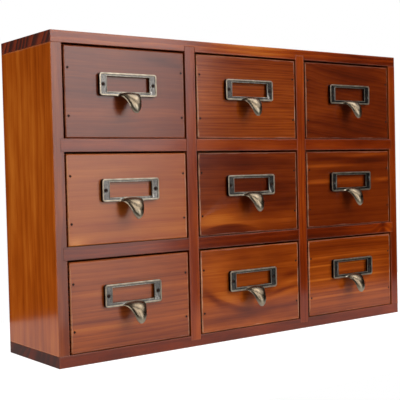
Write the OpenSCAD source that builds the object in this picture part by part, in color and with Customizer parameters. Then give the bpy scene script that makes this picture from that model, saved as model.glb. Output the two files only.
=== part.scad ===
// Desktop cabinet of small drawers: boards halved into a grid, housed in a nailed case,
// with nailed drawers that slide out on the shelves and cast label pulls on their fronts.
// Millimetres. +Z is up, +X is to the right and -Y is towards the user.
// The origin is the middle of the underside of the case.

/* [Case] */
// Overall width of the case
case_w = 375; // [330:1:450]
// Overall depth of the case, front edge to back edge
case_d = 85; // [75:1:140]
// Overall height of the case
case_h = 251; // [235:1:320]
// Thickness of the top, the bottom and the two sides
case_board = 9; // [8:0.5:14]
// Thickness of the dividers and the shelves
grid_board = 10; // [7:0.5:12]
// Depth of the grooves in the top and the bottom that hold the dividers
divider_housing = 4; // [2:0.5:5]
// Depth of the grooves in the sides that hold the shelves
shelf_housing = 3; // [2:0.5:5]
// Thickness of the back panel
back_board = 3; // [2:0.5:6]
// How far the back panel laps onto the case boards all round
back_lap = 5; // [4:0.5:6]
// Room for glue beside a board in its groove, and round the back panel
glue_gap = 0.1; // [0.05:0.05:0.3]

/* [Drawers] */
// Gap at each side of a drawer
gap_side = 1.4; // [0.5:0.1:2]
// Gap above a drawer front
gap_top = 1.5; // [0.8:0.1:3]
// Running gap between a drawer and the shelf that carries it
gap_under = 0.3; // [0.2:0.1:0.6]
// Gap between a closed drawer and the back panel, which stops it
gap_back = 0.5; // [0.3:0.1:2]
// Thickness of a drawer front
front_board = 9; // [8:0.5:14]
// Eased edge round the face of a drawer front
front_ease = 0.7; // [0.4:0.1:2]
// Thickness of a drawer's sides
side_board = 6; // [5:0.5:9]
// Thickness of a drawer's back
rear_board = 6; // [4:0.5:9]
// How far the drawer's sides and back stop below the top of its front
wall_drop = 4; // [1:0.5:12]
// Thickness of a drawer's floor
floor_board = 3; // [2:0.5:5]
// Height of the floor above the drawer's lower edge
floor_lift = 4; // [3:0.5:8]
// Depth of the groove that holds the floor
floor_groove = 2.5; // [1.5:0.5:3.5]

/* [Label pulls] */
// Width of the label plate
plate_w = 52; // [48:1:70]
// Height of the label plate
plate_h = 17.6; // [16.6:0.1:26]
// How far the plate's rim stands off the drawer front
plate_t = 3; // [2.6:0.1:4]
// Corner radius of the plate
plate_corner = 2.2; // [1.6:0.1:4]
// Width of the raised rim along the plate's outer edge
rim_w = 1.3; // [0.8:0.1:1.5]
// Height of the raised rim above the plate's field
rim_rise = 0.5; // [0.2:0.1:0.8]
// Width of the fine lip round the window
lip_w = 0.8; // [0.4:0.1:1]
// Height of the fine lip above the plate's field
lip_rise = 0.3; // [0.1:0.1:0.6]
// Width of the label window
window_w = 38.6; // [30:0.2:40]
// Height of the label window
window_h = 11.5; // [8:0.5:11.5]
// Height of the window's middle above the plate's middle
window_up = 0.25; // [0:0.05:0.3]
// Depth of the slot behind the window, open at the top, that takes the card
slot_t = 1.4; // [0.8:0.1:1.6]
// How much wider than the window the card slot is on each side
slot_margin = 1.2; // [0.5:0.1:1.4]
// Height of the plate's middle above the middle of the drawer front
pull_up = 6.5; // [0:0.5:12]
// Distance between the two pins that hold the plate
pin_spacing = 45.6; // [45:0.1:48]

/* [Finger tongue] */
// Width of the tongue where it leaves the plate
tongue_root_w = 20; // [16:0.5:26]
// Width of the tongue near its tip
tongue_tip_w = 8; // [7:0.5:14]
// How far the tongue's edges reach out past the plate
tongue_reach = 9.5; // [7:0.5:14]
// How far the tip hangs below the plate
tongue_drop = 13.5; // [10:0.5:18]
// Rise of the tongue's crown over its edges
tongue_crown = 2.8; // [2.2:0.1:4]
// Thickness of the tongue's shell
tongue_t = 1.5; // [1:0.1:1.8]

/* [Fasteners] */
// Shank diameter of all nails, tacks and pins
shank_d = 1.2; // [0.8:0.1:1.4]
// Head diameter of the nails in the drawer fronts
nail_head_d = 1.9; // [1.6:0.1:2.4]
// Length of the nails in the drawer fronts
nail_len = 20; // [16:1:28]
// Height between the two nails at each end of a drawer front
nail_spread = 36; // [24:1:48]
// Head diameter of the nails in the case
case_nail_head_d = 2.2; // [1.8:0.1:2.8]
// Length of the nails in the case
case_nail_len = 28; // [20:1:36]
// Distance of the case nails from the front and back edges
case_nail_inset = 16; // [12:1:24]
// Head diameter of the tacks in the back panel
tack_head_d = 3.4; // [2.6:0.1:3.8]
// Length of the tacks in the back panel
tack_len = 11; // [8:1:16]
// Head diameter of the pins that hold a label plate
pin_head_d = 2.2; // [1.8:0.1:2.4]
// Length of the pins that hold a label plate
pin_len = 8; // [6:0.5:9]
// Thickness of the heads of nails, tacks and pins
head_t = 0.7; // [0.5:0.1:0.9]
// How far the nail heads are set below the wood
nail_set = 0.25; // [0.1:0.05:0.5]
// Room round a nail, tack or pin in its hole
nail_room = 0.05; // [0.03:0.01:0.1]

/* [Hidden] */
$fn = 24;
ROWS = ["top", "middle", "bottom"];
COLUMNS = ["left", "centre", "right"];
DRAWER_PIECES = ["front", "walls", "floor", "pull", "pins"];
CASE_PIECES = ["top_panel", "bottom_panel", "left_side", "right_side", "left_divider", "right_divider",
    "upper_shelf", "lower_shelf", "back_panel", "case_nails", "back_tacks"];

// Stained and lacquered softwood, bare softwood, plywood, cast metal and steel
stain_case = [0.50, 0.24, 0.09];
stain_front = [0.52, 0.27, 0.14];
bare_wood = [0.80, 0.62, 0.42];
plywood = [0.72, 0.55, 0.37];
cast_metal = [0.52, 0.50, 0.42];
dark_steel = [0.16, 0.14, 0.13];

// A cut runs this far past the face that it opens
cut = 1;

// The case and its bays
front_y = -case_d / 2;
back_y = case_d / 2;
side_x = case_w / 2;
grid_depth = case_d - back_board;
half_depth_y = front_y + grid_depth / 2;
inner_w = case_w - 2 * case_board;
inner_h = case_h - 2 * case_board;
row_count = len(ROWS);
column_count = len(COLUMNS);
bay_w = (inner_w - (column_count - 1) * grid_board) / column_count;
bay_h = (inner_h - (row_count - 1) * grid_board) / row_count;
bay_pitch_x = bay_w + grid_board;
bay_pitch_z = bay_h + grid_board;
function bay_x(column) = (column - (column_count - 1) / 2) * bay_pitch_x;
function bay_z(row) = case_board + (row_count - 1 - row) * bay_pitch_z;
divider_xs = [for (i = [0 : column_count - 2]) bay_x(i) + bay_pitch_x / 2];
shelf_zs = [for (i = [row_count - 1 : -1 : 1]) bay_z(i) + bay_h];

// The back panel and its tacks
back_w = inner_w + 2 * back_lap;
back_h = inner_h + 2 * back_lap;
tack_form = [tack_head_d, tack_len];
bay_middle_xs = [for (i = [0 : column_count - 1]) bay_x(i)];
bay_middle_zs = [for (i = [0 : row_count - 1]) bay_z(i) + bay_h / 2];
tack_side_x = inner_w / 2 + back_lap / 2;
tack_top_z = case_h - case_board + back_lap / 2;
tack_bottom_z = case_board - back_lap / 2;

// The case nails, through the top and the bottom into the ends of the sides and dividers
case_nail_form = [case_nail_head_d, case_nail_len];
case_nail_ys = [front_y + case_nail_inset, back_y - case_nail_inset];
case_nail_xs = concat([case_board / 2 - side_x], divider_xs, [side_x - case_board / 2]);

// A drawer, placed by the middle of its front's lower front edge
drawer_len = grid_depth - gap_back;
front_w = bay_w - 2 * gap_side;
front_h = bay_h - gap_top - gap_under;
wall_h = front_h - wall_drop;
floor_top = floor_lift + floor_board;
inner_half_w = front_w / 2 - side_board;
nail_form = [nail_head_d, nail_len];
nail_xs = [side_board / 2 - front_w / 2, front_w / 2 - side_board / 2];
nail_zs = [front_h / 2 - nail_spread / 2, front_h / 2 + nail_spread / 2];

// A label plate, placed by its middle on the face of the front
plate_z = front_h / 2 + pull_up;
field_t = plate_t - rim_rise;
window_bottom = window_up - window_h / 2;
pin_form = [pin_head_d, pin_len];
pin_xs = [-pin_spacing / 2, pin_spacing / 2];
// The pin's head sits this far under the plate's field, in a dished hole
pin_sink = 0.3;
dish_d = pin_head_d + 1.2;
corner_steps = 6;

// The finger tongue: a hollow crowned shell swept out and down along a quarter of an ellipse
tongue_stations = 14;
tongue_section_steps = 10;
tongue_seat = 1;
tongue_root_up = 0.3;
// The tip's rounding starts at this share of the sweep and ends at this share of its roundness
tip_start = 0.72;
tip_end = 0.95;
// Stations crowd towards the tip, and the width falls away early from the root
station_crowding = 1.4;
taper_bend = 1.2;

// A plain board given by its lowest corner and its size
module board(corner, size) {
    translate(corner) cube(size);
}

// A nail, tack or pin along +Z, with the top of its head at zero. Room swells it into its hole,
// and a hole also runs out past the head by the height of its mouth.
module nail(form, room = 0, mouth = 0) {
    head_r = form[0] / 2 + room;
    shank_r = shank_d / 2 + room;
    translate([0, 0, -mouth]) cylinder(h = head_t + room + mouth, r = head_r);
    cylinder(h = form[1] + room, r = shank_r);
}

// Everything below it points back, as a nail driven in from the front does
module driven_back() {
    rotate([-90, 0, 0]) children();
}

// Everything below it points forward, as a tack driven in from the back does
module driven_forward() {
    rotate([90, 0, 0]) children();
}

// The case nails at the given places across, through the top or the bottom
module nails_down(xs, room = 0, mouth = 0) {
    for (x = xs, y = case_nail_ys)
        translate([x, y, case_h - nail_set]) rotate([180, 0, 0]) nail(case_nail_form, room, mouth);
}

module nails_up(xs, room = 0, mouth = 0) {
    for (x = xs, y = case_nail_ys)
        translate([x, y, nail_set]) nail(case_nail_form, room, mouth);
}

// Tacks at the given places on the back panel, with their heads on its face
module tacks_at(spots, room = 0) {
    for (spot = spots)
        translate([spot[0], back_y + head_t, spot[1]]) driven_forward() nail(tack_form, room);
}

function spots_across(z) = [for (x = bay_middle_xs) [x, z]];
function spots_up(x) = [for (z = bay_middle_zs) [x, z]];

// The rebate in the top and the bottom stops short of their ends, so that it doesn't show there
module back_rebate(lowest_z) {
    board([-back_w / 2 - glue_gap, back_y - back_board, lowest_z],
        [back_w + 2 * glue_gap, back_board + cut, back_lap + glue_gap + cut]);
}

// Through grooves for the ends of the dividers
module divider_grooves(lowest_z) {
    for (x = divider_xs)
        board([x - grid_board / 2 - glue_gap / 2, front_y - cut, lowest_z],
            [grid_board + glue_gap, grid_depth + cut, divider_housing + cut]);
}

module top_panel() {
    underside = case_h - case_board;
    color(stain_case) difference() {
        board([-side_x, front_y, underside], [case_w, case_d, case_board]);
        divider_grooves(underside - cut);
        back_rebate(underside - cut);
        nails_down(case_nail_xs, nail_room, cut);
        tacks_at(spots_across(tack_top_z), nail_room);
    }
}

module bottom_panel() {
    color(stain_case) difference() {
        board([-side_x, front_y, 0], [case_w, case_d, case_board]);
        divider_grooves(case_board - divider_housing);
        back_rebate(case_board - back_lap - glue_gap);
        nails_up(case_nail_xs, nail_room, cut);
        tacks_at(spots_across(tack_bottom_z), nail_room);
    }
}

// A side of the case: which is -1 on the left and 1 on the right
module case_side(which) {
    middle_x = which * (side_x - case_board / 2);
    inner_face_x = which * inner_w / 2;
    color(stain_case) difference() {
        board([middle_x - case_board / 2, front_y, case_board], [case_board, case_d, inner_h]);
        for (z = shelf_zs)
            board([inner_face_x - (which > 0 ? cut : shelf_housing), front_y - cut, z],
                [shelf_housing + cut, grid_depth + cut, grid_board + glue_gap]);
        board([inner_face_x - (which > 0 ? cut : back_lap + glue_gap), back_y - back_board, case_board - cut],
            [back_lap + glue_gap + cut, back_board + cut, inner_h + 2 * cut]);
        nails_down([middle_x], nail_room);
        nails_up([middle_x], nail_room);
        tacks_at(spots_up(which * tack_side_x), nail_room);
    }
}

module left_side() {
    case_side(-1);
}

module right_side() {
    case_side(1);
}

// An upright of the grid, notched from behind where the shelves cross it
module divider(x) {
    color(stain_case) difference() {
        board([x - grid_board / 2, front_y, case_board - divider_housing],
            [grid_board, grid_depth, inner_h + 2 * divider_housing]);
        for (z = shelf_zs)
            board([x - grid_board / 2 - cut, half_depth_y, z],
                [grid_board + 2 * cut, grid_depth / 2 + cut, grid_board + glue_gap]);
        nails_down([x], nail_room);
        nails_up([x], nail_room);
    }
}

module left_divider() {
    divider(divider_xs[0]);
}

module right_divider() {
    divider(divider_xs[1]);
}

// A shelf of the grid, notched from the front where the dividers cross it
module shelf(z) {
    shelf_w = inner_w + 2 * shelf_housing;
    color(stain_case) difference() {
        board([-shelf_w / 2, front_y, z], [shelf_w, grid_depth, grid_board]);
        for (x = divider_xs)
            board([x - grid_board / 2 - glue_gap / 2, front_y - cut, z - cut],
                [grid_board + glue_gap, grid_depth / 2 + cut, grid_board + 2 * cut]);
    }
}

module upper_shelf() {
    shelf(shelf_zs[1]);
}

module lower_shelf() {
    shelf(shelf_zs[0]);
}

module back_panel() {
    color(plywood) difference() {
        board([-back_w / 2, back_y - back_board, (case_h - back_h) / 2], [back_w, back_board, back_h]);
        tacks_at(spots_across(tack_top_z), nail_room);
        tacks_at(spots_across(tack_bottom_z), nail_room);
        tacks_at(spots_up(-tack_side_x), nail_room);
        tacks_at(spots_up(tack_side_x), nail_room);
    }
}

module case_nails() {
    color(dark_steel) {
        nails_down(case_nail_xs);
        nails_up(case_nail_xs);
    }
}

module back_tacks() {
    color(dark_steel) {
        tacks_at(spots_across(tack_top_z));
        tacks_at(spots_across(tack_bottom_z));
        tacks_at(spots_up(-tack_side_x));
        tacks_at(spots_up(tack_side_x));
    }
}

// Points of a board's section, across and inwards, whose two corners on the face are eased
function eased_section(width) = [
    [front_ease - width / 2, 0],
    [width / 2 - front_ease, 0],
    [width / 2, front_ease],
    [width / 2, front_board],
    [-width / 2, front_board],
    [-width / 2, front_ease],
];

// The four nails through a front into the ends of the drawer's sides
module front_nails(room = 0, mouth = 0) {
    for (x = nail_xs, z = nail_zs)
        translate([x, nail_set, z]) driven_back() nail(nail_form, room, mouth);
}

// The two pins through a label plate into the front
module plate_pins(room = 0, mouth = 0) {
    for (x = pin_xs)
        translate([x, pin_sink - field_t, plate_z]) driven_back() nail(pin_form, room, mouth);
}

module drawer_front() {
    color(stain_front) difference() {
        intersection() {
            linear_extrude(height = front_h) polygon(eased_section(front_w));
            translate([-front_w / 2, 0, front_h / 2]) rotate([90, 0, 90]) linear_extrude(height = front_w)
                polygon([for (point = eased_section(front_h)) [point[1], point[0]]]);
        }
        board([-inner_half_w - floor_groove, front_board - floor_groove, floor_lift],
            [2 * (inner_half_w + floor_groove), floor_groove + cut, floor_board + glue_gap]);
        front_nails(nail_room, cut);
        plate_pins(nail_room);
    }
}

// A side of a drawer: which is -1 on the left and 1 on the right
module drawer_side(which) {
    inner_face_x = which * inner_half_w;
    difference() {
        board([inner_face_x - (which > 0 ? 0 : side_board), front_board, 0],
            [side_board, drawer_len - front_board, wall_h]);
        board([inner_face_x - (which > 0 ? cut : floor_groove), front_board - cut, floor_lift],
            [floor_groove + cut, drawer_len - front_board + 2 * cut, floor_board + glue_gap]);
        front_nails(nail_room);
    }
}

// The two sides, and the back between them, which stands on the floor
module drawer_walls() {
    color(bare_wood) {
        drawer_side(-1);
        drawer_side(1);
        board([glue_gap - inner_half_w, drawer_len - rear_board, floor_top],
            [2 * (inner_half_w - glue_gap), rear_board, wall_h - floor_top]);
    }
}

// The floor slides in from behind, under the back
module drawer_floor() {
    reach = floor_groove - glue_gap;
    color(plywood) board([-inner_half_w - reach, front_board - reach, floor_lift],
        [2 * (inner_half_w + reach), drawer_len - front_board + reach, floor_board]);
}

// Points of a rectangle with rounded corners about the origin
function rounded_outline(width, height, radius) = [
    for (quarter = [0 : 3], step = [0 : corner_steps])
        let (turn = 90 * (quarter + step / corner_steps))
        let (across = (quarter == 0 || quarter == 3) ? 1 : -1)
        let (upward = quarter < 2 ? 1 : -1)
        [
            across * (width / 2 - radius) + radius * cos(turn),
            upward * (height / 2 - radius) + radius * sin(turn),
        ]
];

// A flat shape of the plate, drawn across and up, raised off the wood between two distances
module raised(near, far) {
    translate([0, -near, 0]) rotate([90, 0, 0]) linear_extrude(height = far - near) children();
}

module plate_outline(inset) {
    polygon(rounded_outline(plate_w - 2 * inset, plate_h - 2 * inset, plate_corner - inset));
}

module window_outline(margin) {
    translate([0, window_up]) square([window_w + 2 * margin, window_h + 2 * margin], center = true);
}

// Where the tongue's edges run at a share of the sweep: out from the wood, and up from the plate's lower edge
function sweep_turn(share) = 90 * share;
function edge_out(share) = plate_t + tongue_reach * sin(sweep_turn(share));
function edge_up(share) = tongue_root_up - (tongue_drop + tongue_root_up) * (1 - cos(sweep_turn(share)));

// The way that the crown faces there: up at the root and outwards at the tip
function crown_way(share) =
    let (out = (tongue_drop + tongue_root_up) * sin(sweep_turn(share)))
    let (up = tongue_reach * cos(sweep_turn(share)))
    [out, up] / norm([out, up]);

// Everything shrinks towards the rounded tip
function tip_roundness(share) =
    share < tip_start ? 1 : sqrt(1 - pow((share - tip_start) / (1 - tip_start) * tip_end, 2));
function half_width(share) =
    tip_roundness(share) * (tongue_tip_w + (tongue_root_w - tongue_tip_w) * pow(1 - share, taper_bend)) / 2;

// A point of the shell, at an angle across its section, on its outer or inner face
function shell_point(share, angle, wall, out_shift) =
    let (rise = (tongue_crown * tip_roundness(share) - wall) * cos(angle))
    let (way = crown_way(share))
    [
        (half_width(share) - wall) * sin(angle),
        -(edge_out(share) + out_shift + way[0] * rise),
        edge_up(share) + way[1] * rise - plate_h / 2,
    ];
function shell_ring(share, out_shift) =
    let (wall = tongue_t * tip_roundness(share))
    let (angles = [for (step = [0 : tongue_section_steps]) 180 * step / tongue_section_steps - 90])
    concat(
        [for (angle = angles) shell_point(share, angle, 0, out_shift)],
        [for (angle = angles) shell_point(share, -angle, wall, out_shift)]
    );

// The root's ring is repeated inside the plate, where the tongue is cast onto it
module tongue() {
    shares = [for (i = [0 : tongue_stations]) 1 - pow(1 - i / tongue_stations, station_crowding)];
    rings = concat([shell_ring(0, -tongue_seat)], [for (share = shares) shell_ring(share, 0)]);
    size = 2 * (tongue_section_steps + 1);
    last = len(rings) - 1;
    skin = [
        for (ring = [0 : last - 1], k = [0 : size - 1])
            let (a = ring * size + k)
            let (b = ring * size + (k + 1) % size)
            each [[a, b, b + size], [a, b + size, a + size]]
    ];
    caps = [
        for (k = [0 : tongue_section_steps - 1])
            let (a = k)
            let (b = size - 1 - k)
            each [
                [a, b, b - 1], [a, b - 1, a + 1],
                [last * size + a, last * size + b - 1, last * size + b],
                [last * size + a, last * size + a + 1, last * size + b - 1],
            ]
    ];
    polyhedron(points = [for (ring = rings) each ring], faces = concat(skin, caps));
}

// The label plate with its rim, window, card slot and pin holes, and the tongue cast onto it
module label_pull() {
    color(cast_metal) difference() {
        union() {
            raised(0, field_t) plate_outline(0);
            raised(0, plate_t) difference() {
                plate_outline(0);
                plate_outline(rim_w);
            }
            raised(0, field_t + lip_rise) window_outline(lip_w);
            tongue();
        }
        raised(-cut, plate_t + cut) window_outline(0);
        board([-window_w / 2 - slot_margin, -slot_t, window_bottom],
            [window_w + 2 * slot_margin, slot_t + cut, plate_h]);
        translate([0, 0, -plate_z]) plate_pins(nail_room, cut);
        for (x = pin_xs)
            translate([x, -field_t, 0]) driven_back()
                translate([0, 0, -cut]) cylinder(h = pin_sink + cut, d = dish_d);
    }
}

// One piece of a drawer, in the drawer's own place
module drawer_piece(piece) {
    if (piece == "front") drawer_front();
    if (piece == "walls") drawer_walls();
    if (piece == "floor") drawer_floor();
    if (piece == "pull") translate([0, 0, plate_z]) label_pull();
    if (piece == "pins") color(dark_steel) {
        front_nails();
        plate_pins();
    }
}

top_panel();
bottom_panel();
left_side();
right_side();
left_divider();
right_divider();
upper_shelf();
lower_shelf();
back_panel();
case_nails();
back_tacks();
for (row = [0 : row_count - 1], column = [0 : column_count - 1], piece = DRAWER_PIECES)
    translate([bay_x(column), front_y, bay_z(row) + gap_under]) drawer_piece(piece);
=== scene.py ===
"""A nine-drawer desktop cabinet of stained pine with cast label pulls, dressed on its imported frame."""

import math
from collections import namedtuple

import bmesh
import bpy
from mathutils import Matrix, Vector


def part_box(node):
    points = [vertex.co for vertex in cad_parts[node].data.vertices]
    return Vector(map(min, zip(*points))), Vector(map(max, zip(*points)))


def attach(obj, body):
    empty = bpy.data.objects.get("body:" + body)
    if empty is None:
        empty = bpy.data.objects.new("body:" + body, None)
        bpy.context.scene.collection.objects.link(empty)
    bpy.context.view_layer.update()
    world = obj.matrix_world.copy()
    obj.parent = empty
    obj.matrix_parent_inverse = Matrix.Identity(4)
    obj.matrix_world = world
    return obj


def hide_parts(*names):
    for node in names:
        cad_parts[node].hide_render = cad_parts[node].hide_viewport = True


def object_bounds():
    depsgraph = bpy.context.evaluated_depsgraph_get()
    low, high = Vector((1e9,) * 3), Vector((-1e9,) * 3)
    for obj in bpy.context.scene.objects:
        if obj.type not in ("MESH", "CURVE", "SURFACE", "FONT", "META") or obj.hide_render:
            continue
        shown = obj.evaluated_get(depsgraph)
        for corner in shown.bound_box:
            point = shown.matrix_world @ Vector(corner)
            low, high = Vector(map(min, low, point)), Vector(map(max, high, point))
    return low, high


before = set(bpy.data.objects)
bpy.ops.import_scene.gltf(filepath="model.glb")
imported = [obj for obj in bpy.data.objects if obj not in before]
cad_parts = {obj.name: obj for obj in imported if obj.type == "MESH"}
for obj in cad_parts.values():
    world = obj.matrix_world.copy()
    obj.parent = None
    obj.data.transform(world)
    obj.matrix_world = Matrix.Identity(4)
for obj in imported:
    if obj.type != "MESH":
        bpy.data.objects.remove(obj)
cad_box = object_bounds()

# The camera, in metres and degrees
CAMERA_AT = (-0.49696, -0.63587, 0.14587)
CAMERA_AZIMUTH = -36.738
CAMERA_ELEVATION = 1.959
CAMERA_ROLL = -1.333
CAMERA_LENS_MM = 80.76
CAMERA_SENSOR_MM = 36.0
CAMERA_NEAR = 0.01

MM = 1000.0  # millimetres in a metre

# Meshes, in metres
MERGE_WITHIN = 2e-6
LEVEL_WITHIN = 1e-5
FLAT_WITHIN = math.radians(0.5)
SHARP_FROM = math.radians(30)
LONG_EDGE = 0.004  # longer than any edge round a nail hole
CASE_EASE = 0.0003
FRONT_EASE = 0.0003
WALL_EASE = 0.0005
FLOOR_EASE = 0.0002
EASE_SEGMENTS = 3
FLAT_FACES_LEAD = 100  # so that large flat faces stay flat in their shading
SQUARE_ON = 0.95  # the least part along an axis of a normal that points that way
TURNING_FROM = 0.7  # the part at which a face begins to look like one that does
SIDE_BOARD = 0.0062  # the thickness of a drawer's side, and a little more

# The label plate's levels along Y and its height, and the room to leave round the tongue's root, in metres
FIELD_Y = -0.0450
RIM_Y = -0.0455
PLATE_H = 0.0176
TONGUE_ROOT_HALF_W = 0.0112
TONGUE_ROOT_H = 0.0052
PLATE_EASE = 0.00038
EASE_RUN_OUT = 0.00015  # the length in which an eased edge ends beside the root

# Stain as it takes on pine, from the darkest grain to the lightest. Each stop is a tone and a colour.
GOLDEN_STAIN = (
    (0.00, (0.034, 0.0050, 0.0014)),
    (0.20, (0.092, 0.0105, 0.0010)),
    (0.40, (0.175, 0.0260, 0.0015)),
    (0.60, (0.300, 0.0580, 0.0040)),
    (0.80, (0.430, 0.1120, 0.0105)),
    (1.00, (0.590, 0.2050, 0.0340)),
)
RED_STAIN = (
    (0.00, (0.034, 0.0048, 0.0013)),
    (0.20, (0.092, 0.0092, 0.0008)),
    (0.40, (0.175, 0.0205, 0.0011)),
    (0.60, (0.300, 0.0500, 0.0033)),
    (0.80, (0.430, 0.1060, 0.0095)),
    (1.00, (0.590, 0.1850, 0.0270)),
)
BARE_PINE = (
    (0.00, (0.26, 0.130, 0.050)),
    (0.35, (0.45, 0.270, 0.130)),
    (0.65, (0.60, 0.410, 0.220)),
    (1.00, (0.72, 0.540, 0.330)),
)
PLY_VENEER = (
    (0.00, (0.30, 0.170, 0.080)),
    (0.40, (0.47, 0.310, 0.165)),
    (1.00, (0.63, 0.460, 0.280)),
)
END_DARKER = -0.22  # how much darker in tone the end grain is

# The wood's patterns, in features to a millimetre along, across and into a board
WANDER = (1 / 130, 1 / 42, 1 / 42)
RIPPLE = (1 / 40, 1 / 9, 1 / 9)
STREAKS = (1 / 30, 1.3, 1.3)
BLOTCHES = (1 / 75, 1 / 24, 1 / 24)
RAGGED_LINE = (1 / 20, 1 / 12, 1 / 12)
BRUSH_MARKS = (0.5, 0.8, 0.8)
RIPPLE_SHARE = 0.25  # of the sway
GROWTH_PER_YEAR = 0.7
GROWTH_DRIFT = 1.6  # how many years good growth shifts the rings
LATE_FROM, LATE_FULL, LATE_TO = 0.30, 0.86, 0.92  # parts of a year
KNOT_STRETCH = 1.7  # a knot's length for its width
KNOT_CORE = 6.0  # the power that narrows a knot to its dark core
KNOT_SHADE = -0.3

# Worn arrises, in millimetres and in shares of the wear. Their pale colour is wear and a painted sheen of the
# rounded edge
WORN_AND_SHEEN_STAIN = (0.56, 0.32, 0.18)
WORN_ROUGHER = 0.5
WORN_REACH = 1.4
WORN_FULL = 0.3  # the part of the reach that is worn through
WORN_RAGGED = 2.6  # how far the worn line wanders
SHELTERED_FROM, SHELTERED_FULL = 2.5, 0.8  # from the two edges along the grain
TOP_WEAR, FOOT_WEAR = 0.3, 0.28  # what these edges get, upper and lower on a front

# The coat's relief, its depth in metres
BRUSHED_DEPTH = 0.00002
STREAK_RELIEF = 0.3
LATE_RELIEF = 0.1

# Cast brass, from its darkest to its lightest tone, and its patterns in features to a millimetre
PATINA = (
    (0.0, (0.028, 0.0265, 0.024)),
    (0.5, (0.108, 0.101, 0.094)),
    (1.0, (0.254, 0.236, 0.218)),
)
RUBBED_BRASS = (
    (0.0, (0.180, 0.148, 0.108)),
    (0.5, (0.340, 0.282, 0.208)),
    (1.0, (0.500, 0.425, 0.325)),
)
# Near-black for the walls behind the plate's face: grime, and painted shade where they lie in shadow
BLACK_SHADE_AND_GRIME = (0.012, 0.010, 0.008)
TONGUE_TINT = (0.70, 0.62, 0.515)  # left by fingers on the tongues
FINGERED_AND_HIGHLIT_BRASS = (0.38, 0.325, 0.24)  # rubbed bare on the tips, and lighter there as a painted highlight
BRASS_MOTTLE = (0.9, 0.9, 0.9)
BRASS_CLOUD = (0.22, 0.22, 0.22)
PATINA_CONTRAST = 0.25
RUBBED_CONTRAST = 0.2
RUB_LEAST, RUB_MOST = 0.5, 1.3
TONGUE_RUB = 0.45
TONGUE_CALM = 0.5  # how much of the mottling fingers have evened out
# Where these begin and are full, in millimetres before the rim, before the field, behind it and above a tip
TONGUE_FROM, TONGUE_FULL = 0.3, 2.0
PROUD_FROM, PROUD_FULL = 0.1, 0.46
# the painted shade and grime begin this far behind the field
BLACK_SHADE_FROM = 0.5
TIP_FROM, TIP_FULL = 9.0, 1.0
TIP_MARGIN = 0.5
EDGE_ON, EDGE_PAST = 1.0, 0.75  # how far sideways a face looks that gets no rubbing, and all of it
CAST_SMOOTH, CAST_ROUGH = 0.17, 0.31
PROUD_ROUGHER = 0.10
TONGUE_ROUGHER = -0.075  # fingers polish it
TIP_ROUGHER = 0.08
CAST_DEPTH = 0.00012  # in metres
CAST_RELIEF = 0.25
TONGUE_RELIEF = 0.15

# Nails gone almost black
NAIL_BLACK = ((0.2, (0.008, 0.0035, 0.0025)), (0.8, (0.034, 0.014, 0.009)))
NAIL_MOTTLE = (1.4, 1.4, 1.4)
NAIL_SMOOTH, NAIL_ROUGH = 0.5, 0.8

# A coating's shader constants and its lowest and highest roughness
Coating = namedtuple("Coating", "constants smooth rough")
SOAKED = Coating({"Specular IOR Level": 0.25, "IOR": 1.5}, 0.4, 0.55)
FRONT_LACQUER = Coating({"Specular IOR Level": 0.5, "IOR": 1.5}, 0.12, 0.17)
DULLED_LACQUER = Coating({"Specular IOR Level": 0.57, "IOR": 1.5}, 0.22, 0.28)
RUBBED_LACQUER = Coating({"Specular IOR Level": 0.15, "IOR": 1.5}, 0.5, 0.65)
CASE_LACQUER = Coating({"Specular IOR Level": 0.5, "IOR": 1.5}, 0.11, 0.16)
UNFINISHED = Coating({"Specular IOR Level": 0.25, "IOR": 1.5}, 0.55, 0.75)
RUBBED_THROUGH = Coating({"Specular IOR Level": 0.06, "IOR": 1.5}, 0.5, 0.65)

# A lighter or darker patch, and a knot that bends the rings round it, in millimetres from a board's middle.
# The patch's own line slopes and bends across the board, and its lower side may fade within another width.
Patch = namedtuple("Patch", "along across length width gain slope bend under", defaults=(0.0, 0.0, None))
Knot = namedtuple("Knot", "along across size push")


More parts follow.
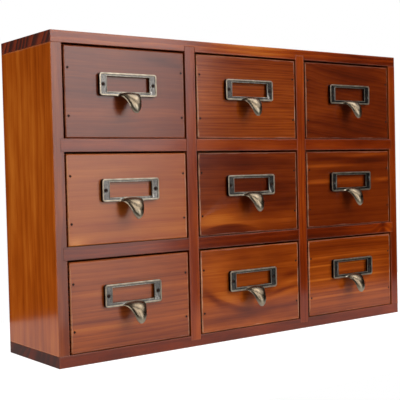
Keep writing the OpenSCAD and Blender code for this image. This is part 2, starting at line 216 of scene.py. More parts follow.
class Finish:
    """A material, with short calls for its nodes. Each call returns the socket that the next one reads."""

    def __init__(self, name, constants):
        self.material = bpy.data.materials.new(name)
        self.material.use_nodes = True
        self.tree = self.material.node_tree
        self.shader = self.tree.nodes["Principled BSDF"]
        for socket, value in constants.items():
            self.shader.inputs[socket].default_value = value

    def link(self, value, socket):
        if isinstance(value, bpy.types.NodeSocket):
            self.tree.links.new(value, socket)
        else:
            socket.default_value = value

    def node(self, kind, feeds, output=0, **settings):
        made = self.tree.nodes.new("ShaderNode" + kind)
        for setting, value in settings.items():
            setattr(made, setting, value)
        for socket, value in feeds.items():
            self.link(value, made.inputs[socket])
        return made.outputs[output]

    def math(self, operation, a, b=0.0, c=0.0):
        return self.node("Math", {0: a, 1: b, 2: c}, operation=operation)

    def total(self, *terms):
        running = terms[0]
        for term in terms[1:]:
            running = self.math("ADD", running, term)
        return running

    def rise(self, value, low, high):
        """From 0 to 1, smoothly, as value goes from low to high."""
        feeds = {"Value": value, "From Min": low, "From Max": high}
        return self.node("MapRange", feeds, interpolation_type="SMOOTHSTEP")

    def spread(self, value, low, high):
        """Takes a share from 0 to 1 to the range from low to high."""
        return self.math("MULTIPLY_ADD", value, high - low, low)

    def vector(self, operation, a, b=(0, 0, 0), c=(0, 0, 0), output="Vector"):
        return self.node("VectorMath", {0: a, 1: b, 2: c}, output, operation=operation)

    def split(self, at):
        made = self.tree.nodes.new("ShaderNodeSeparateXYZ")
        self.link(at, made.inputs[0])
        return made.outputs

    def join(self, x, y, z):
        return self.node("CombineXYZ", {0: x, 1: y, 2: z})

    def noise(self, at, per_mm, seed, detail=2.0, roughness=0.5, output="Fac"):
        """Noise with this many features in a millimetre along each axis."""
        place = self.vector("MULTIPLY_ADD", at, per_mm, (seed, 0.37 * seed, -seed))
        feeds = {"Vector": place, "Scale": 1.0, "Detail": detail, "Roughness": roughness}
        return self.node("TexNoise", feeds, output)

    def noise_along(self, distance, per_step, seed, detail=2.0):
        """Noise that changes with one number only."""
        place = self.math("MULTIPLY_ADD", distance, per_step, seed)
        return self.node("TexNoise", {"W": place, "Scale": 1.0, "Detail": detail}, noise_dimensions="1D")

    def ramp(self, value, stops):
        made = self.tree.nodes.new("ShaderNodeValToRGB")
        elements = made.color_ramp.elements
        while len(elements) < len(stops):
            elements.new(1.0)
        for element, (place, colour) in zip(elements, stops):
            element.position = place
            element.color = (*colour, 1.0)
        self.link(value, made.inputs[0])
        return made.outputs["Color"]

    def mix(self, share, a, b, blend="MIX"):
        a, b = ((*c, 1.0) if isinstance(c, tuple) else c for c in (a, b))
        return self.node("Mix", {0: share, 6: a, 7: b}, 2, data_type="RGBA", blend_type=blend)

    def bump(self, height, depth, strength):
        return self.node("Bump", {"Height": height, "Distance": depth, "Strength": strength}, "Normal")

    def place_mm(self, middle):
        """Millimetres from a point of the frame."""
        at = self.node("TexCoord", {}, "Object")
        feeds = {"Vector": at, "Location": -MM * Vector(middle), "Scale": (MM, MM, MM)}
        return self.node("Mapping", feeds)

    def show(self, colour, roughness, normal=None):
        self.link(colour, self.shader.inputs["Base Color"])
        self.link(roughness, self.shader.inputs["Roughness"])
        if normal is not None:
            self.link(normal, self.shader.inputs["Normal"])
        return self.material


def hump(finish, value, middle, width, under=None):
    """1 at the middle, falling away on both sides of it. Another width may be given under it."""
    off = finish.math("SUBTRACT", value, middle)
    if under is None:
        steps = finish.math("DIVIDE", off, width)
    else:
        above = finish.math("DIVIDE", finish.math("MAXIMUM", off, 0.0), width)
        steps = finish.math("ADD", above, finish.math("DIVIDE", finish.math("MINIMUM", off, 0.0), under))
    return finish.math("EXPONENT", finish.math("MULTIPLY", finish.math("MULTIPLY", steps, steps), -1.0))


def on_arrises(finish, at, half, reach, ragged):
    """1 on a board's long edges and corners, fading within reach millimetres of them."""
    near = []
    for value, size in zip(finish.split(at), half):
        edge = finish.math("ADD", finish.math("ABSOLUTE", value), ragged)
        near.append(finish.rise(edge, size - reach, size - WORN_FULL * reach))
    pairs = [finish.math("MINIMUM", near[a], near[b]) for a, b in ((0, 1), (1, 2), (0, 2))]
    return finish.math("MAXIMUM", finish.math("MAXIMUM", pairs[0], pairs[1]), pairs[2])


def wood(
    name,
    box,
    grain,
    palette,
    coating,
    seed,
    pith=(20.0, 60.0),
    lean=0.0,
    dive=0.0,
    ring=3.2,
    sway=5.0,
    tone=0.45,
    late=0.16,
    bands=0.5,
    fibre=0.25,
    blotch=0.5,
    edge=0.0,
    end_late=-0.2,
    patches=(),
    knots=(),
    wear=0.0,
    in_bay=False,
):
    """A board's own wood. Grain gives the frame's axes along, across and into the board, and lengths are
    millimetres from its middle. The growth rings lie round the pith, which drifts across by lean and
    deeper by dive. The ends and edges of a board in a bay don't wear."""
    finish = Finish(name, coating.constants)
    low, high = box
    centred = finish.place_mm((low + high) / 2)
    axes = finish.split(centred)
    at = finish.join(*(axes["XYZ".index(axis)] for axis in grain))
    along, across, _ = finish.split(at)

    wander = finish.noise(at, WANDER, seed, output="Color")
    wander = finish.vector("SUBTRACT", wander, (0.5, 0.5, 0.5))
    ripple = finish.noise(at, RIPPLE, seed + 5, output="Color")
    ripple = finish.vector("SUBTRACT", ripple, (0.5, 0.5, 0.5))
    moved = finish.vector("MULTIPLY_ADD", wander, (0, 2 * sway, 2 * sway), at)
    moved = finish.vector("MULTIPLY_ADD", ripple, (0, RIPPLE_SHARE * sway, RIPPLE_SHARE * sway), moved)
    _, swayed, off_deep = finish.split(moved)
    off_across = finish.math("ADD", swayed, finish.math("MULTIPLY_ADD", along, -lean, -pith[0]))
    off_deep = finish.math("ADD", off_deep, finish.math("MULTIPLY_ADD", along, -dive, -pith[1]))
    radius = finish.vector("LENGTH", finish.join(off_across, off_deep, 0.0), output="Value")

    shade = []
    for knot in knots:
        reach = finish.math(
            "MULTIPLY",
            hump(finish, along, knot.along, KNOT_STRETCH * knot.size),
            hump(finish, across, knot.across, knot.size),
        )
        radius = finish.math("MULTIPLY_ADD", reach, knot.push, radius)
        shade.append(finish.math("MULTIPLY", finish.math("POWER", reach, KNOT_CORE), KNOT_SHADE))
    for patch in patches:
        run = finish.math("SUBTRACT", along, patch.along)
        line = finish.math("MULTIPLY", finish.math("MULTIPLY_ADD", run, -patch.bend, -patch.slope), run)
        inside = finish.math(
            "MULTIPLY",
            hump(finish, run, 0.0, patch.length),
            hump(finish, finish.math("ADD", swayed, line), patch.across, patch.width, patch.under),
        )
        shade.append(finish.math("MULTIPLY", inside, patch.gain))

    years = finish.math("DIVIDE", radius, ring)
    growth = finish.noise_along(years, GROWTH_PER_YEAR, seed, detail=3.0)
    season = finish.math("FRACT", finish.math("MULTIPLY_ADD", growth, GROWTH_DRIFT, years))
    late_wood = finish.math(
        "MULTIPLY", finish.rise(season, LATE_FROM, LATE_FULL), finish.rise(season, 1.0, LATE_TO)
    )
    streaks = finish.noise(at, STREAKS, seed + 11, detail=3.0, roughness=0.6)
    stain = finish.noise(at, BLOTCHES, seed + 23, detail=3.0, roughness=0.55)
    value = finish.total(
        finish.math("MULTIPLY", late_wood, late),
        finish.math("MULTIPLY_ADD", growth, bands, tone - 0.5 * bands),
        finish.math("MULTIPLY_ADD", streaks, fibre, -0.5 * fibre),
        finish.math("MULTIPLY_ADD", stain, blotch, -0.5 * blotch),
        *shade,
    )

    facing = finish.split(finish.node("TexCoord", {}, "Normal"))
    on_end, on_edge = (finish.math("ABSOLUTE", facing["XYZ".index(axis)]) for axis in grain[:2])
    on_end = finish.rise(on_end, TURNING_FROM, SQUARE_ON)
    on_edge = finish.rise(on_edge, TURNING_FROM, SQUARE_ON)
    end_grain = finish.math("MULTIPLY_ADD", late_wood, end_late, END_DARKER)
    value = finish.math("MULTIPLY_ADD", on_edge, edge, value)
    value = finish.math("MULTIPLY_ADD", on_end, end_grain, value)
    colour = finish.ramp(value, palette)
    rough = finish.spread(streaks, coating.smooth, coating.rough)
    if wear:
        ragged = finish.noise(at, RAGGED_LINE, seed + 31, detail=4.0, roughness=0.6)
        ragged = finish.math("MULTIPLY_ADD", ragged, WORN_RAGGED, -0.5 * WORN_RAGGED)
        half = [MM * ((high - low) / 2)["XYZ".index(axis)] for axis in grain]
        worn_and_sheen = on_arrises(finish, at, half, WORN_REACH, ragged)
        if in_bay:
            hidden = finish.math("MAXIMUM", on_end, on_edge)
            worn_and_sheen = finish.math("MULTIPLY", worn_and_sheen, finish.math("SUBTRACT", 1.0, hidden))
        near_top = finish.rise(across, half[1] - SHELTERED_FROM, half[1] - SHELTERED_FULL)
        kept_top = finish.spread(near_top, wear, TOP_WEAR * wear)
        near_foot = finish.rise(across, SHELTERED_FROM - half[1], SHELTERED_FULL - half[1])
        kept_foot = finish.spread(near_foot, 1.0, FOOT_WEAR)
        sheltered = finish.math("MULTIPLY", kept_top, kept_foot)
        rough = finish.math("MULTIPLY_ADD", worn_and_sheen, min(WORN_ROUGHER, wear), rough)
        # pale arrises: wear, with the rounded edge's sheen painted in
        colour = finish.mix(finish.math("MULTIPLY", worn_and_sheen, sheltered), colour, WORN_AND_SHEEN_STAIN)
    relief = finish.total(
        finish.noise(at, BRUSH_MARKS, seed + 41, detail=1.0),
        finish.math("MULTIPLY", streaks, STREAK_RELIEF),
        finish.math("MULTIPLY", late_wood, LATE_RELIEF),
    )
    return finish.show(colour, rough, finish.bump(relief, BRUSHED_DEPTH, 1.0))


def antique_brass():
    """Cast brass under a dark patina, rubbed bright on the rims and the tips of the tongues, the tips also
    lighter as a painted highlight, and painted near-black behind the plate's face as grime and shade."""
    finish = Finish("antique_brass", {"Metallic": 1.0})
    at = finish.place_mm((0.0, 0.0, 0.0))
    field, rim = MM * FIELD_Y, MM * RIM_Y
    _, depth, height = finish.split(at)
    row_pitch = MM * (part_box("middle_left_drawer_pull")[0].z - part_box("bottom_left_drawer_pull")[0].z)
    lowest_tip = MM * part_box("bottom_left_drawer_pull")[0].z
    above_tip = finish.math("MODULO", finish.math("SUBTRACT", height, lowest_tip - TIP_MARGIN), row_pitch)
    tongue = finish.rise(depth, rim - TONGUE_FROM, rim - TONGUE_FULL)

    def calmer_on_tongue(blots):
        even = finish.math("MULTIPLY", tongue, TONGUE_CALM)
        return finish.math("MULTIPLY_ADD", finish.math("SUBTRACT", 0.5, blots), even, blots)

    mottle = calmer_on_tongue(finish.noise(at, BRASS_MOTTLE, 3.0, detail=4.0, roughness=0.65))
    cloud = calmer_on_tongue(finish.noise(at, BRASS_CLOUD, 8.0, detail=3.0))
    patina = finish.ramp(finish.spread(mottle, -PATINA_CONTRAST, 1 + PATINA_CONTRAST), PATINA)
    rubbed = finish.ramp(finish.spread(cloud, -RUBBED_CONTRAST, 1 + RUBBED_CONTRAST), RUBBED_BRASS)
    sideways = finish.split(finish.node("TexCoord", {}, "Normal"))["X"]
    proud = finish.rise(depth, field - PROUD_FROM, field - PROUD_FULL)
    turned = finish.rise(finish.math("ABSOLUTE", sideways), EDGE_ON, EDGE_PAST)
    wear = finish.math("MULTIPLY", proud, turned)
    wear = finish.math("MULTIPLY", wear, finish.spread(cloud, RUB_LEAST, RUB_MOST))
    wear = finish.math("MULTIPLY", wear, finish.spread(tongue, 1.0, TONGUE_RUB))
    # 0 behind the plate's face, where grime and painted shade turn the brass near-black
    open_face = finish.rise(depth, field + BLACK_SHADE_FROM, field)
    metal = finish.mix(tongue, finish.mix(wear, patina, rubbed), TONGUE_TINT, "MULTIPLY")
    # the tips: rubbed by fingers, and painted lighter as a highlight
    tip = finish.math("MULTIPLY", tongue, finish.rise(above_tip, TIP_FROM, TIP_FULL))
    metal = finish.mix(tip, metal, FINGERED_AND_HIGHLIT_BRASS)
    colour = finish.mix(open_face, BLACK_SHADE_AND_GRIME, metal)
    rough = finish.math("MULTIPLY_ADD", proud, PROUD_ROUGHER, finish.spread(mottle, CAST_SMOOTH, CAST_ROUGH))
    rough = finish.math("MULTIPLY_ADD", tongue, TONGUE_ROUGHER, rough)
    rough = finish.math("MULTIPLY_ADD", tip, TIP_ROUGHER, rough)
    relief = finish.math("MULTIPLY", mottle, finish.spread(tongue, 1.0, TONGUE_RELIEF))
    return finish.show(colour, rough, finish.bump(relief, CAST_DEPTH, CAST_RELIEF))


def nail_steel():
    """Dull wire nails gone almost black."""
    finish = Finish("nail_steel", {"Metallic": 0.0, "Specular IOR Level": 0.04})
    at = finish.place_mm((0.0, 0.0, 0.0))
    mottle = finish.noise(at, NAIL_MOTTLE, 5.0, detail=3.0)
    return finish.show(finish.ramp(mottle, NAIL_BLACK), finish.spread(mottle, NAIL_SMOOTH, NAIL_ROUGH))


def solid_copy(node):
    """The node's solid as one closed mesh, with its loose triangles merged and its flat faces whole."""
    solid = bmesh.new()
    solid.from_mesh(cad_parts[node].data)
    bmesh.ops.remove_doubles(solid, verts=solid.verts, dist=MERGE_WITHIN)
    bmesh.ops.dissolve_limit(solid, angle_limit=FLAT_WITHIN, verts=solid.verts, edges=solid.edges)
    return solid


def is_arris(edge):
    return edge.is_manifold and edge.is_convex and edge.calc_face_angle(0.0) > SHARP_FROM


def long_arrises(solid):
    return [edge for edge in solid.edges if is_arris(edge) and edge.calc_length() > LONG_EDGE]


def ease(solid, edges, width):
    """Rounds these edges a little, as sanding does."""
    bmesh.ops.bevel(
        solid,
        geom=edges,
        affect="EDGES",
        offset=width,
        offset_type="OFFSET",
        segments=EASE_SEGMENTS,
        profile=0.5,
        material=-1,
        clamp_overlap=True,
    )


def dressed(solid, node, body, slot, *materials):
    """The finished mesh as a piece that stands for the node and rides on its body."""
    mesh = bpy.data.meshes.new(node + "_dressed")
    solid.to_mesh(mesh)
    solid.free()
    for material in materials:
        mesh.materials.append(material)
    mesh.shade_smooth()
    mesh.set_sharp_from_angle(angle=SHARP_FROM)
    made = bpy.data.objects.new(mesh.name, mesh)
    bpy.context.collection.objects.link(made)
    even = made.modifiers.new("even_shading", "WEIGHTED_NORMAL")
    even.keep_sharp = True
    even.weight = FLAT_FACES_LEAD
    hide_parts(node)
    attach(made, body)


def board(node, body, slot, width, material, end_grain=None, grain_axis=0, upper=None, arris=None):
    """A board whose long arrises are eased by this width. Other materials may be given for its ends, its
    upper face and its arrises."""
    solid = solid_copy(node)
    ease(solid, long_arrises(solid), width)
    materials = [material]

    def finish_faces(other, is_one):
        if other is None:
            return
        for face in solid.faces:
            if is_one(face.normal):
                face.material_index = len(materials)
        materials.append(other)

    finish_faces(end_grain, lambda way: abs(way[grain_axis]) > SQUARE_ON)
    finish_faces(upper, lambda way: way.z > SQUARE_ON)
    finish_faces(arris, lambda way: max(abs(part) for part in way) < SQUARE_ON)
    dressed(solid, node, body, slot, *materials)


def drawer_walls(node, body, along_depth, along_width):
    """A drawer's two sides and its back, each with the grain along it."""
    solid = solid_copy(node)
    ease(solid, long_arrises(solid), WALL_EASE)
    low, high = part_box(node)
    inner = 0.5 * (high.x - low.x) - SIDE_BOARD
    middle = 0.5 * (high.x + low.x)
    for face in solid.faces:
        face.material_index = int(all(abs(v.co.x - middle) < inner for v in face.verts))
    dressed(solid, node, body, "bare_wood", along_depth, along_width)


def label_pull(node, body, material):
    """The cast pull, with the plate's front edges softened up to the tongue's root."""
    solid = solid_copy(node)
    low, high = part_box(node)
    middle = 0.5 * (low.x + high.x)
    root_top = high.z - PLATE_H + TONGUE_ROOT_H
    clear_from = TONGUE_ROOT_HALF_W + 0.5 * EASE_RUN_OUT
    for off in (TONGUE_ROOT_HALF_W, TONGUE_ROOT_HALF_W + EASE_RUN_OUT):
        for side in (-1, 1):
            bmesh.ops.bisect_plane(
                solid,
                geom=[*solid.verts, *solid.edges, *solid.faces],
                dist=MERGE_WITHIN,
                plane_co=(middle + side * off, 0.0, 0.0),
                plane_no=(1.0, 0.0, 0.0),
            )

    def on_plate_front(edge):
        level = all(RIM_Y - LEVEL_WITHIN < v.co.y < FIELD_Y - LEVEL_WITHIN for v in edge.verts)
        clear = all(abs(v.co.x - middle) > clear_from or v.co.z > root_top for v in edge.verts)
        return level and clear

    ease(solid, [edge for edge in solid.edges if is_arris(edge) and on_plate_front(edge)], PLATE_EASE)
    dressed(solid, node, body, "antique_brass", material)


# How each board was sawn and took the stain
FRONT_FIGURES = {
    "top_left": dict(
        seed=1.0,
        pith=(90, 70),
        tone=0.39,
        late=-0.04,
        bands=0.16,
        fibre=0.22,
        blotch=0.3,
        patches=(
            Patch(0, -14, 90, 5, 0.08),
            Patch(35, 8, 30, 9, -0.08),
            Patch(38, 26, 24, 4, -0.14, -0.12),
        ),
        wear=0.15,
    ),
    "top_centre": dict(
        seed=2.0,
        pith=(160, 40),
        ring=2.4,
        sway=2.0,
        tone=0.46,
        late=-0.10,
        bands=0.14,
        fibre=0.32,
        blotch=0.3,
        patches=(
            Patch(10, -16, 70, 6, 0.07),
            Patch(42, -5, 14, 3, -0.12),
            Patch(-20, 29, 30, 2, -0.10),
            Patch(48, 22, 24, 18, -0.06),
            Patch(-50, 0, 22, 40, 0.08),
        ),
        wear=0.6,
    ),
    "top_right": dict(
        seed=3.0,
        pith=(-90, 25),
        dive=0.05,
        lean=-0.12,
        ring=3.6,
        sway=7.0,
        tone=0.26,
        late=-0.06,
        bands=0.14,
        fibre=0.2,
        patches=(Patch(-10, 22, 40, 6, 0.03, -0.12), Patch(-48, 4, 14, 16, -0.05)),
        wear=0.28,
    ),
    "middle_left": dict(
        seed=4.0,
        pith=(170, 60),
        ring=5.0,
        sway=3.0,
        tone=0.64,
        late=-0.04,
        bands=0.12,
        fibre=0.2,
        blotch=0.25,
        patches=(
            Patch(-52, 18, 40, 20, 0.06),
            Patch(10, -20, 55, 2, -0.08),
            Patch(-25, -28, 45, 3, 0.10),
            Patch(-49, -32, 11, 3.5, 0.3),
            Patch(40, -26, 20, 5, 0.08),
            Patch(-15, 27, 40, 2, -0.06, 0.04),
            Patch(-5, 22, 50, 2, 0.05, 0.04),
        ),
        wear=0.45,
    ),
    "middle_centre": dict(
        seed=5.0,
        pith=(150, 45),
        ring=5.0,
        sway=3.0,
        tone=0.315,
        late=-0.05,
        bands=0.12,
        patches=(
            Patch(-10, 25, 70, 8, -0.16),
            Patch(30, 31, 30, 2, 0.14, -0.02),
            Patch(-34, -23, 34, 9, 0.46, 0.0, -0.003, 5.0),
            Patch(32, -26, 40, 6, 0.22, 0.0, 0.0, 4.0),
            Patch(-24, -27, 26, 0.7, -0.26, 0.0, -0.0045, 9.0),
            Patch(30, 2, 26, 14, -0.07),
        ),
        wear=0.5,
    ),
    "middle_right": dict(
        seed=6.0,
        pith=(150, 30),
        ring=6.0,
        sway=3.0,
        tone=0.285,
        late=-0.04,
        bands=0.1,
        fibre=0.2,
        blotch=0.3,
        patches=(
            Patch(-25, 21.5, 38, 2.5, 0.24, 0.01, 0.0, 1.5),
            Patch(-42, 6.5, 24, 3.0, 0.26, 0.03, 0.0, 1.2),
            Patch(5, 7.0, 34, 4.0, 0.16),
            Patch(46, 7.0, 12, 2.0, 0.20, 0.05),
            Patch(26, 25.0, 34, 2.8, -0.22, 0.03),
            Patch(5, -22.0, 50, 12, -0.04),
            Patch(18, 30.0, 32, 1.5, 0.22, 0.02, 0.0012),
            Patch(-25, 28.0, 26, 2.2, -0.12),
        ),
        wear=0.35,
    ),
    "bottom_left": dict(
        seed=7.0,
        pith=(170, 30),
        ring=4.2,
        sway=1.6,
        tone=0.56,
        late=-0.08,
        bands=0.2,
        fibre=0.32,
        blotch=0.35,
        patches=(
            Patch(-35, -12, 34, 3, -0.15, 0.0, 0.0, 1.5),
            Patch(-30, -17, 45, 2.5, 0.10),
            Patch(10, 10, 70, 2.0, 0.08),
            Patch(20, 19, 60, 2.0, -0.08),
            Patch(0, -30, 70, 8, -0.06),
        ),
        wear=0.35,
    ),
    "bottom_centre": dict(
        seed=8.0,
        pith=(150, 40),
        ring=6.0,
        tone=0.51,
        late=-0.05,
        bands=0.14,
        patches=(
            Patch(-40, 14, 18, 18, 0.14),
            Patch(-26, -11, 20, 8, 0.15, -0.30, 0.004, 1.2),
            Patch(-20, -16, 24, 2.5, -0.18, -0.20, 0.004),
            Patch(-42, -8, 10, 4.0, -0.20, -0.70),
            Patch(30, -10.5, 36, 2.0, 0.14, 0.08),
            Patch(46, 7.0, 12, 2.8, -0.20, 0.10),
            Patch(44, -0.5, 16, 2.6, 0.22, 0.05),
            Patch(34, -6.5, 14, 1.6, -0.18, 0.12),
            Patch(15, -21, 60, 2.0, -0.16, 0.05),
            Patch(-30, -26, 34, 2.0, -0.16, 0.02),
            Patch(0, -32, 70, 2.5, 0.08),
            Patch(35, 28, 25, 5, -0.10),
        ),
        wear=0.6,
    ),
    "bottom_right": dict(
        seed=9.0,
        pith=(170, 20),
        ring=3.2,
        sway=1.0,
        tone=0.47,
        late=-0.07,
        bands=0.12,
        fibre=0.24,
        blotch=0.3,
        patches=(
            Patch(0, 27, 80, 4.5, -0.15),
            Patch(-45, -6, 26, 18, 0.07),
            Patch(50, 2, 14, 14, -0.10),
            Patch(-10, 18.5, 70, 0.9, 0.14),
            Patch(-20, 10.5, 70, 1.1, 0.24),
            Patch(10, 5.0, 80, 1.0, 0.14),
            Patch(-10, -2.0, 90, 1.3, 0.24),
            Patch(10, -8.0, 80, 1.2, 0.16),
            Patch(-20, -13.0, 60, 1.0, 0.14),
            Patch(0, -18.5, 90, 1.3, 0.22),
            Patch(0, -26.0, 80, 2.0, 0.14),
        ),
        wear=0.45,
    ),
}
CASE_FIGURES = {
    "top_panel": (
        "XYZ",
        dict(
            seed=21.0,
            pith=(-160, -110),
            ring=5.0,
            tone=0.46,
            end_late=-0.5,
            patches=(
                Patch(12, -45, 48, 30, 0.3),
                Patch(-150, -45, 80, 30, 0.08),
                Patch(150, -45, 80, 30, -0.2),
            ),
        ),
    ),
    "bottom_panel": (
        "XYZ",
        dict(
            seed=22.0,
            pith=(60, 45),
            tone=0.34,
            late=-0.04,
            bands=0.25,
            patches=(
                Patch(90, -45, 50, 30, -0.13),
                Patch(-150, -45, 50, 30, -0.05),
                Patch(175, -45, 14, 30, 0.12),
            ),
        ),
    ),
    "left_side": (
        "ZYX",
        dict(
            seed=23.0,
            pith=(80, 60),
            ring=5.0,
            tone=0.60,
            late=-0.05,
            bands=0.3,
            edge=-0.16,
            patches=(
                Patch(40, 25, 70, 25, 0.09),
                Patch(0, -36, 26, 14, 0.07),
                Patch(108, -36, 18, 14, 0.05),
                Patch(18, 10, 30, 14, 0.05),
                Patch(-80, 0, 22, 40, -0.05),
            ),
        ),
    ),
    "right_side": (
        "ZYX",
        dict(
            seed=24.0,
            pith=(-60, 40),
            ring=5.0,
            tone=0.58,
            late=0.08,
            edge=-0.17,
            patches=(Patch(-60, -45, 45, 30, -0.15), Patch(112, -45, 14, 30, -0.08)),
        ),
    ),
    "left_divider": (
        "ZYX",
        dict(
            seed=25.0,
            pith=(40, 40),
            tone=0.40,
            late=0.06,
            bands=0.3,
            patches=(Patch(-112, -45, 20, 30, 0.16),),
        ),
    ),
    "right_divider": (
        "ZYX",
        dict(
            seed=26.0,
            pith=(-40, 50),
            tone=0.35,
            late=0.06,
            bands=0.3,
            patches=(Patch(112, -45, 30, 30, 0.14), Patch(-80, -45, 30, 30, -0.07)),
        ),
    ),
    "upper_shelf": (
        "XYZ",
        dict(
            seed=27.0,
            pith=(50, 30),
            tone=0.40,
            late=0.06,
            bands=0.3,
            patches=(
                Patch(-45, -45, 22, 30, 0.10),
                Patch(-120, -45, 30, 30, -0.06),
                Patch(140, -45, 80, 30, -0.12),
            ),
        ),
    ),
    "lower_shelf": (
        "XYZ",
        dict(
            seed=28.0,
            pith=(-50, 30),
            tone=0.32,
            late=0.06,
            bands=0.3,
            patches=(
                Patch(60, -45, 75, 30, -0.14),
                Patch(-120, -45, 20, 30, -0.07),
                Patch(172, -45, 10, 12, 0.2),
            ),
            knots=(Knot(168, -42, 6, 8),),
        ),
    ),
}
CASE_WEAR = 0.12
END_RING = 9.0

for node, (grain, figure) in CASE_FIGURES.items():
    palette = GOLDEN_STAIN if node == "left_side" else RED_STAIN
    sawn = (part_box(node), grain, palette)
    face = wood(node + "_stain", *sawn, CASE_LACQUER, wear=CASE_WEAR, **figure)
    ends = wood(node + "_end_grain", *sawn, SOAKED, **{**figure, "ring": END_RING})
    upper = None
    if node == "top_panel":
        upper = wood(node + "_upper_face", *sawn, RUBBED_LACQUER, wear=CASE_WEAR, **figure)
    board(node, "case", "case_stain", CASE_EASE, face, ends, "XYZ".index(grain[0]), upper)
back_ply = wood(
    "back_ply",
    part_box("back_panel"),
    "XZY",
    PLY_VENEER,
    UNFINISHED,
    seed=41.0,
    pith=(20, 60),
    dive=0.05,
    ring=7.0,
    sway=9.0,
    tone=0.5,
    late=-0.35,
    bands=0.7,
    fibre=0.4,
)
board("back_panel", "case", "plywood", FLOOR_EASE, back_ply)

brass = antique_brass()
steel = nail_steel()
ply = dict(seed=42.0, pith=(60, 190), ring=8.0, tone=0.55)
pine = dict(pith=(250, 90), ring=4.0, tone=0.6, late=-0.2)
floor_ply = wood("floor_ply", cad_box, "XYZ", PLY_VENEER, UNFINISHED, **ply)
side_pine = wood("side_pine", cad_box, "YZX", BARE_PINE, UNFINISHED, seed=43.0, **pine)
rear_pine = wood("rear_pine", cad_box, "XZY", BARE_PINE, UNFINISHED, seed=44.0, **pine)
for place, figure in FRONT_FIGURES.items():
    body = place + "_drawer"
    front = body + "_front"
    lacquer = DULLED_LACQUER if place.endswith("left") else FRONT_LACQUER
    sawn = (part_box(front), "XZY", GOLDEN_STAIN)
    stain = wood(front + "_stain", *sawn, lacquer, in_bay=True, **figure)
    # the arris faces barely shine; their sheen is painted into their pale worn colour
    worn_and_sheen = wood(front + "_arris", *sawn, RUBBED_THROUGH, in_bay=True, **figure)
    board(front, body, "front_stain", FRONT_EASE, stain, arris=worn_and_sheen)
    drawer_walls(body + "_walls", body, side_pine, rear_pine)
    board(body + "_floor", body, "plywood", FLOOR_EASE, floor_ply)
    label_pull(body + "_pull", body, brass)
    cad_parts[body + "_pins"].material_slots[0].material = steel
for node in ("case_nails", "back_tacks"):
    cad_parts[node].material_slots[0].material = steel


# The studio: a narrow white table, a tall softbox before the right of the cabinet, and soft lamps round it,
# with their places and widths in metres and their power in watts
TABLE_LOW = (-0.406, -0.21)
TABLE_HIGH = (0.50, 0.18)
TABLE_GLOW = 0.45
TABLE_GLOW_SEEN = 0.93
KEY_LEFT, KEY_RIGHT = 0.22, 0.762
KEY_BOTTOM, KEY_TOP = -0.30, 1.50
KEY_Y = -1.24
KEY_GLOW = 3.5
KEY_EDGE = 0.10
KEY_LEAN = 0.10  # how far its right edge leans out for each metre up
KEY_BEND = 0.29  # and for each metre above or under its waist
KEY_WAIST = 0.06
KEY_SHOULDER = 0.36  # where the edge turns straight up
# How the softbox brightens from its lower edge up
KEY_FADE = ((0.0, 0.25), (0.375, 0.92), (0.5, 1.1), (0.83, 1.5), (1.0, 1.5))
KEY_LAMP_AT = (0.62, -1.05, 0.62)
KEY_LAMP_SIZE = 1.1
KEY_LAMP_POWER = 7.4
GLINT_AT = (-0.25, -1.15, 1.15)
GLINT_SIZE = 0.7
GLINT_POWER = 3.5
CROWN_AT = (1.05, -0.55, 1.35)
CROWN_SIZE = 0.9
CROWN_POWER = 6.5
FILL_AT = (-1.30, 0.12, 0.35)
FILL_SIZE = 1.0
FILL_POWER = 13.5
TOP_AT = (0.15, -0.35, 1.6)
TOP_SIZE = 1.6
TOP_POWER = 3.4
BEHIND_AT = (0.80, 1.20, 0.70)
BEHIND_SIZE = 1.0
BEHIND_POWER = 14.0
BESIDE_AT = (-0.20, -0.95, 0.72)
BESIDE_SIZE = 0.6
BESIDE_HEIGHT = 1.2
BESIDE_POWER = 5.0
SHOULDER_AT = (0.52, -0.10, 1.30)
SHOULDER_SIZE = 0.75
SHOULDER_POWER = 7.5
LAMPS_FACE = Vector((0.0, 0.0, 0.12))
AMBIENT = 0.12
WHITE = (1.0, 1.0, 1.0, 1.0)
MATT_GREY = {"Base Color": (0.3, 0.3, 0.3, 1.0), "Roughness": 0.9, "Specular IOR Level": 0.0}


def emitter(name):
    """A matt material that shines white, as strongly as shine says."""
    return Finish(name, {**MATT_GREY, "Emission Color": WHITE})


def shine(finish, glow):
    finish.link(glow, finish.shader.inputs["Emission Strength"])


def card(name, low, high, finish):
    """A flat rectangle between two corners, for the studio."""
    sheet = bmesh.new()
    bmesh.ops.create_grid(sheet, x_segments=1, y_segments=1, size=0.5)
    spread = Vector(high) - Vector(low)
    if spread.z:
        bmesh.ops.rotate(sheet, verts=sheet.verts, matrix=Matrix.Rotation(math.radians(-90), 3, "X"))
        spread.y = 1.0
    else:
        spread.z = 1.0
    bmesh.ops.scale(sheet, verts=sheet.verts, vec=spread)
    bmesh.ops.translate(sheet, verts=sheet.verts, vec=(Vector(low) + Vector(high)) / 2)
    mesh = bpy.data.meshes.new(name)
    sheet.to_mesh(mesh)
    sheet.free()
    mesh.materials.append(finish.material)
    made = bpy.data.objects.new(name, mesh)
    bpy.context.collection.objects.link(made)
    return made


def lamp(name, at, size, power, height=None):
    """A soft light that faces the cabinet, square unless a height is given."""
    data = bpy.data.lights.new(name, "AREA")
    data.shape = "RECTANGLE"
    data.size = size
    data.size_y = height or size
    data.energy = power
    made = bpy.data.objects.new(name, data)
    bpy.context.collection.objects.link(made)
    made.location = at
    made.rotation_euler = (LAMPS_FACE - Vector(at)).to_track_quat("-Z", "Y").to_euler()
    made.visible_camera = False
    return made


table = emitter("table_white")
table_seen = table.node("LightPath", {}, "Is Camera Ray")
shine(table, table.spread(table_seen, TABLE_GLOW, TABLE_GLOW_SEEN))
card("table_top", (*TABLE_LOW, 0.0), (*TABLE_HIGH, 0.0), table)

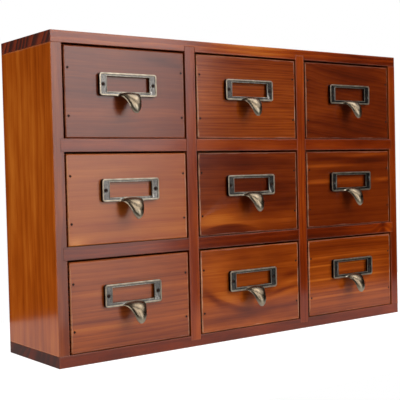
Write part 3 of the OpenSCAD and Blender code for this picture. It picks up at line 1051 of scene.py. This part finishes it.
softbox = emitter("softbox_face")
key_x, _, key_z = softbox.split(softbox.place_mm((0.0, 0.0, 0.0)))
key_rise = softbox.math("SUBTRACT", softbox.math("MINIMUM", key_z, MM * KEY_SHOULDER), MM * KEY_WAIST)
key_lean = softbox.math("MULTIPLY", softbox.math("ABSOLUTE", key_rise), -KEY_BEND)
key_lean = softbox.math("MULTIPLY_ADD", key_rise, -KEY_LEAN, key_lean)
key_edge = softbox.rise(softbox.math("ADD", key_x, key_lean), MM * KEY_RIGHT, MM * (KEY_RIGHT - KEY_EDGE))
key_reach = {"Value": key_z, "From Min": MM * KEY_BOTTOM, "From Max": MM * KEY_TOP}
key_height = softbox.node("MapRange", key_reach)
key_fade = softbox.ramp(key_height, [(place, (glow,) * 3) for place, glow in KEY_FADE])
shine(softbox, softbox.math("MULTIPLY", softbox.math("MULTIPLY", key_edge, key_fade), KEY_GLOW))
key_far = KEY_RIGHT + (KEY_LEAN + KEY_BEND) * (KEY_SHOULDER - KEY_WAIST)
key = card("softbox", (KEY_LEFT, KEY_Y, KEY_BOTTOM), (key_far, KEY_Y, KEY_TOP), softbox)
key.visible_camera = False
lamp("fill", FILL_AT, FILL_SIZE, FILL_POWER)
lamp("overhead", TOP_AT, TOP_SIZE, TOP_POWER)
lamp("glint", GLINT_AT, GLINT_SIZE, GLINT_POWER)
lamp("crown_light", CROWN_AT, CROWN_SIZE, CROWN_POWER)
lamp("key_lamp", KEY_LAMP_AT, KEY_LAMP_SIZE, KEY_LAMP_POWER).visible_glossy = False
lamp("behind", BEHIND_AT, BEHIND_SIZE, BEHIND_POWER).visible_glossy = False
lamp("beside_camera", BESIDE_AT, BESIDE_SIZE, BESIDE_POWER, BESIDE_HEIGHT).visible_diffuse = False
lamp("shoulder_light", SHOULDER_AT, SHOULDER_SIZE, SHOULDER_POWER).visible_diffuse = False

# The room is white to the camera, gives a little ambient light, and is dark in reflections
world = bpy.data.worlds.new("studio")
world.use_nodes = True
sky = world.node_tree
seen = sky.nodes.new("ShaderNodeLightPath")
dim = sky.nodes.new("ShaderNodeMath")
dim.operation = "MULTIPLY_ADD"
dim.inputs[1].default_value = -AMBIENT
dim.inputs[2].default_value = AMBIENT
glow = sky.nodes.new("ShaderNodeMath")
glow.operation = "MAXIMUM"
sky.links.new(seen.outputs["Is Glossy Ray"], dim.inputs[0])
sky.links.new(dim.outputs[0], glow.inputs[0])
sky.links.new(seen.outputs["Is Camera Ray"], glow.inputs[1])
sky.nodes["Background"].inputs["Color"].default_value = WHITE
sky.links.new(glow.outputs[0], sky.nodes["Background"].inputs["Strength"])
bpy.context.scene.world = world
bpy.context.scene.view_settings.view_transform = "Standard"

lens = bpy.data.cameras.new("camera")
lens.lens = CAMERA_LENS_MM
lens.sensor_width = CAMERA_SENSOR_MM
lens.clip_start = CAMERA_NEAR
camera = bpy.data.objects.new("camera", lens)
camera.matrix_world = (
    Matrix.Translation(CAMERA_AT)
    @ Matrix.Rotation(math.radians(CAMERA_AZIMUTH), 4, "Z")
    @ Matrix.Rotation(math.radians(90 - CAMERA_ELEVATION), 4, "X")
    @ Matrix.Rotation(math.radians(CAMERA_ROLL), 4, "Z")
)
bpy.context.collection.objects.link(camera)
bpy.context.scene.camera = camera
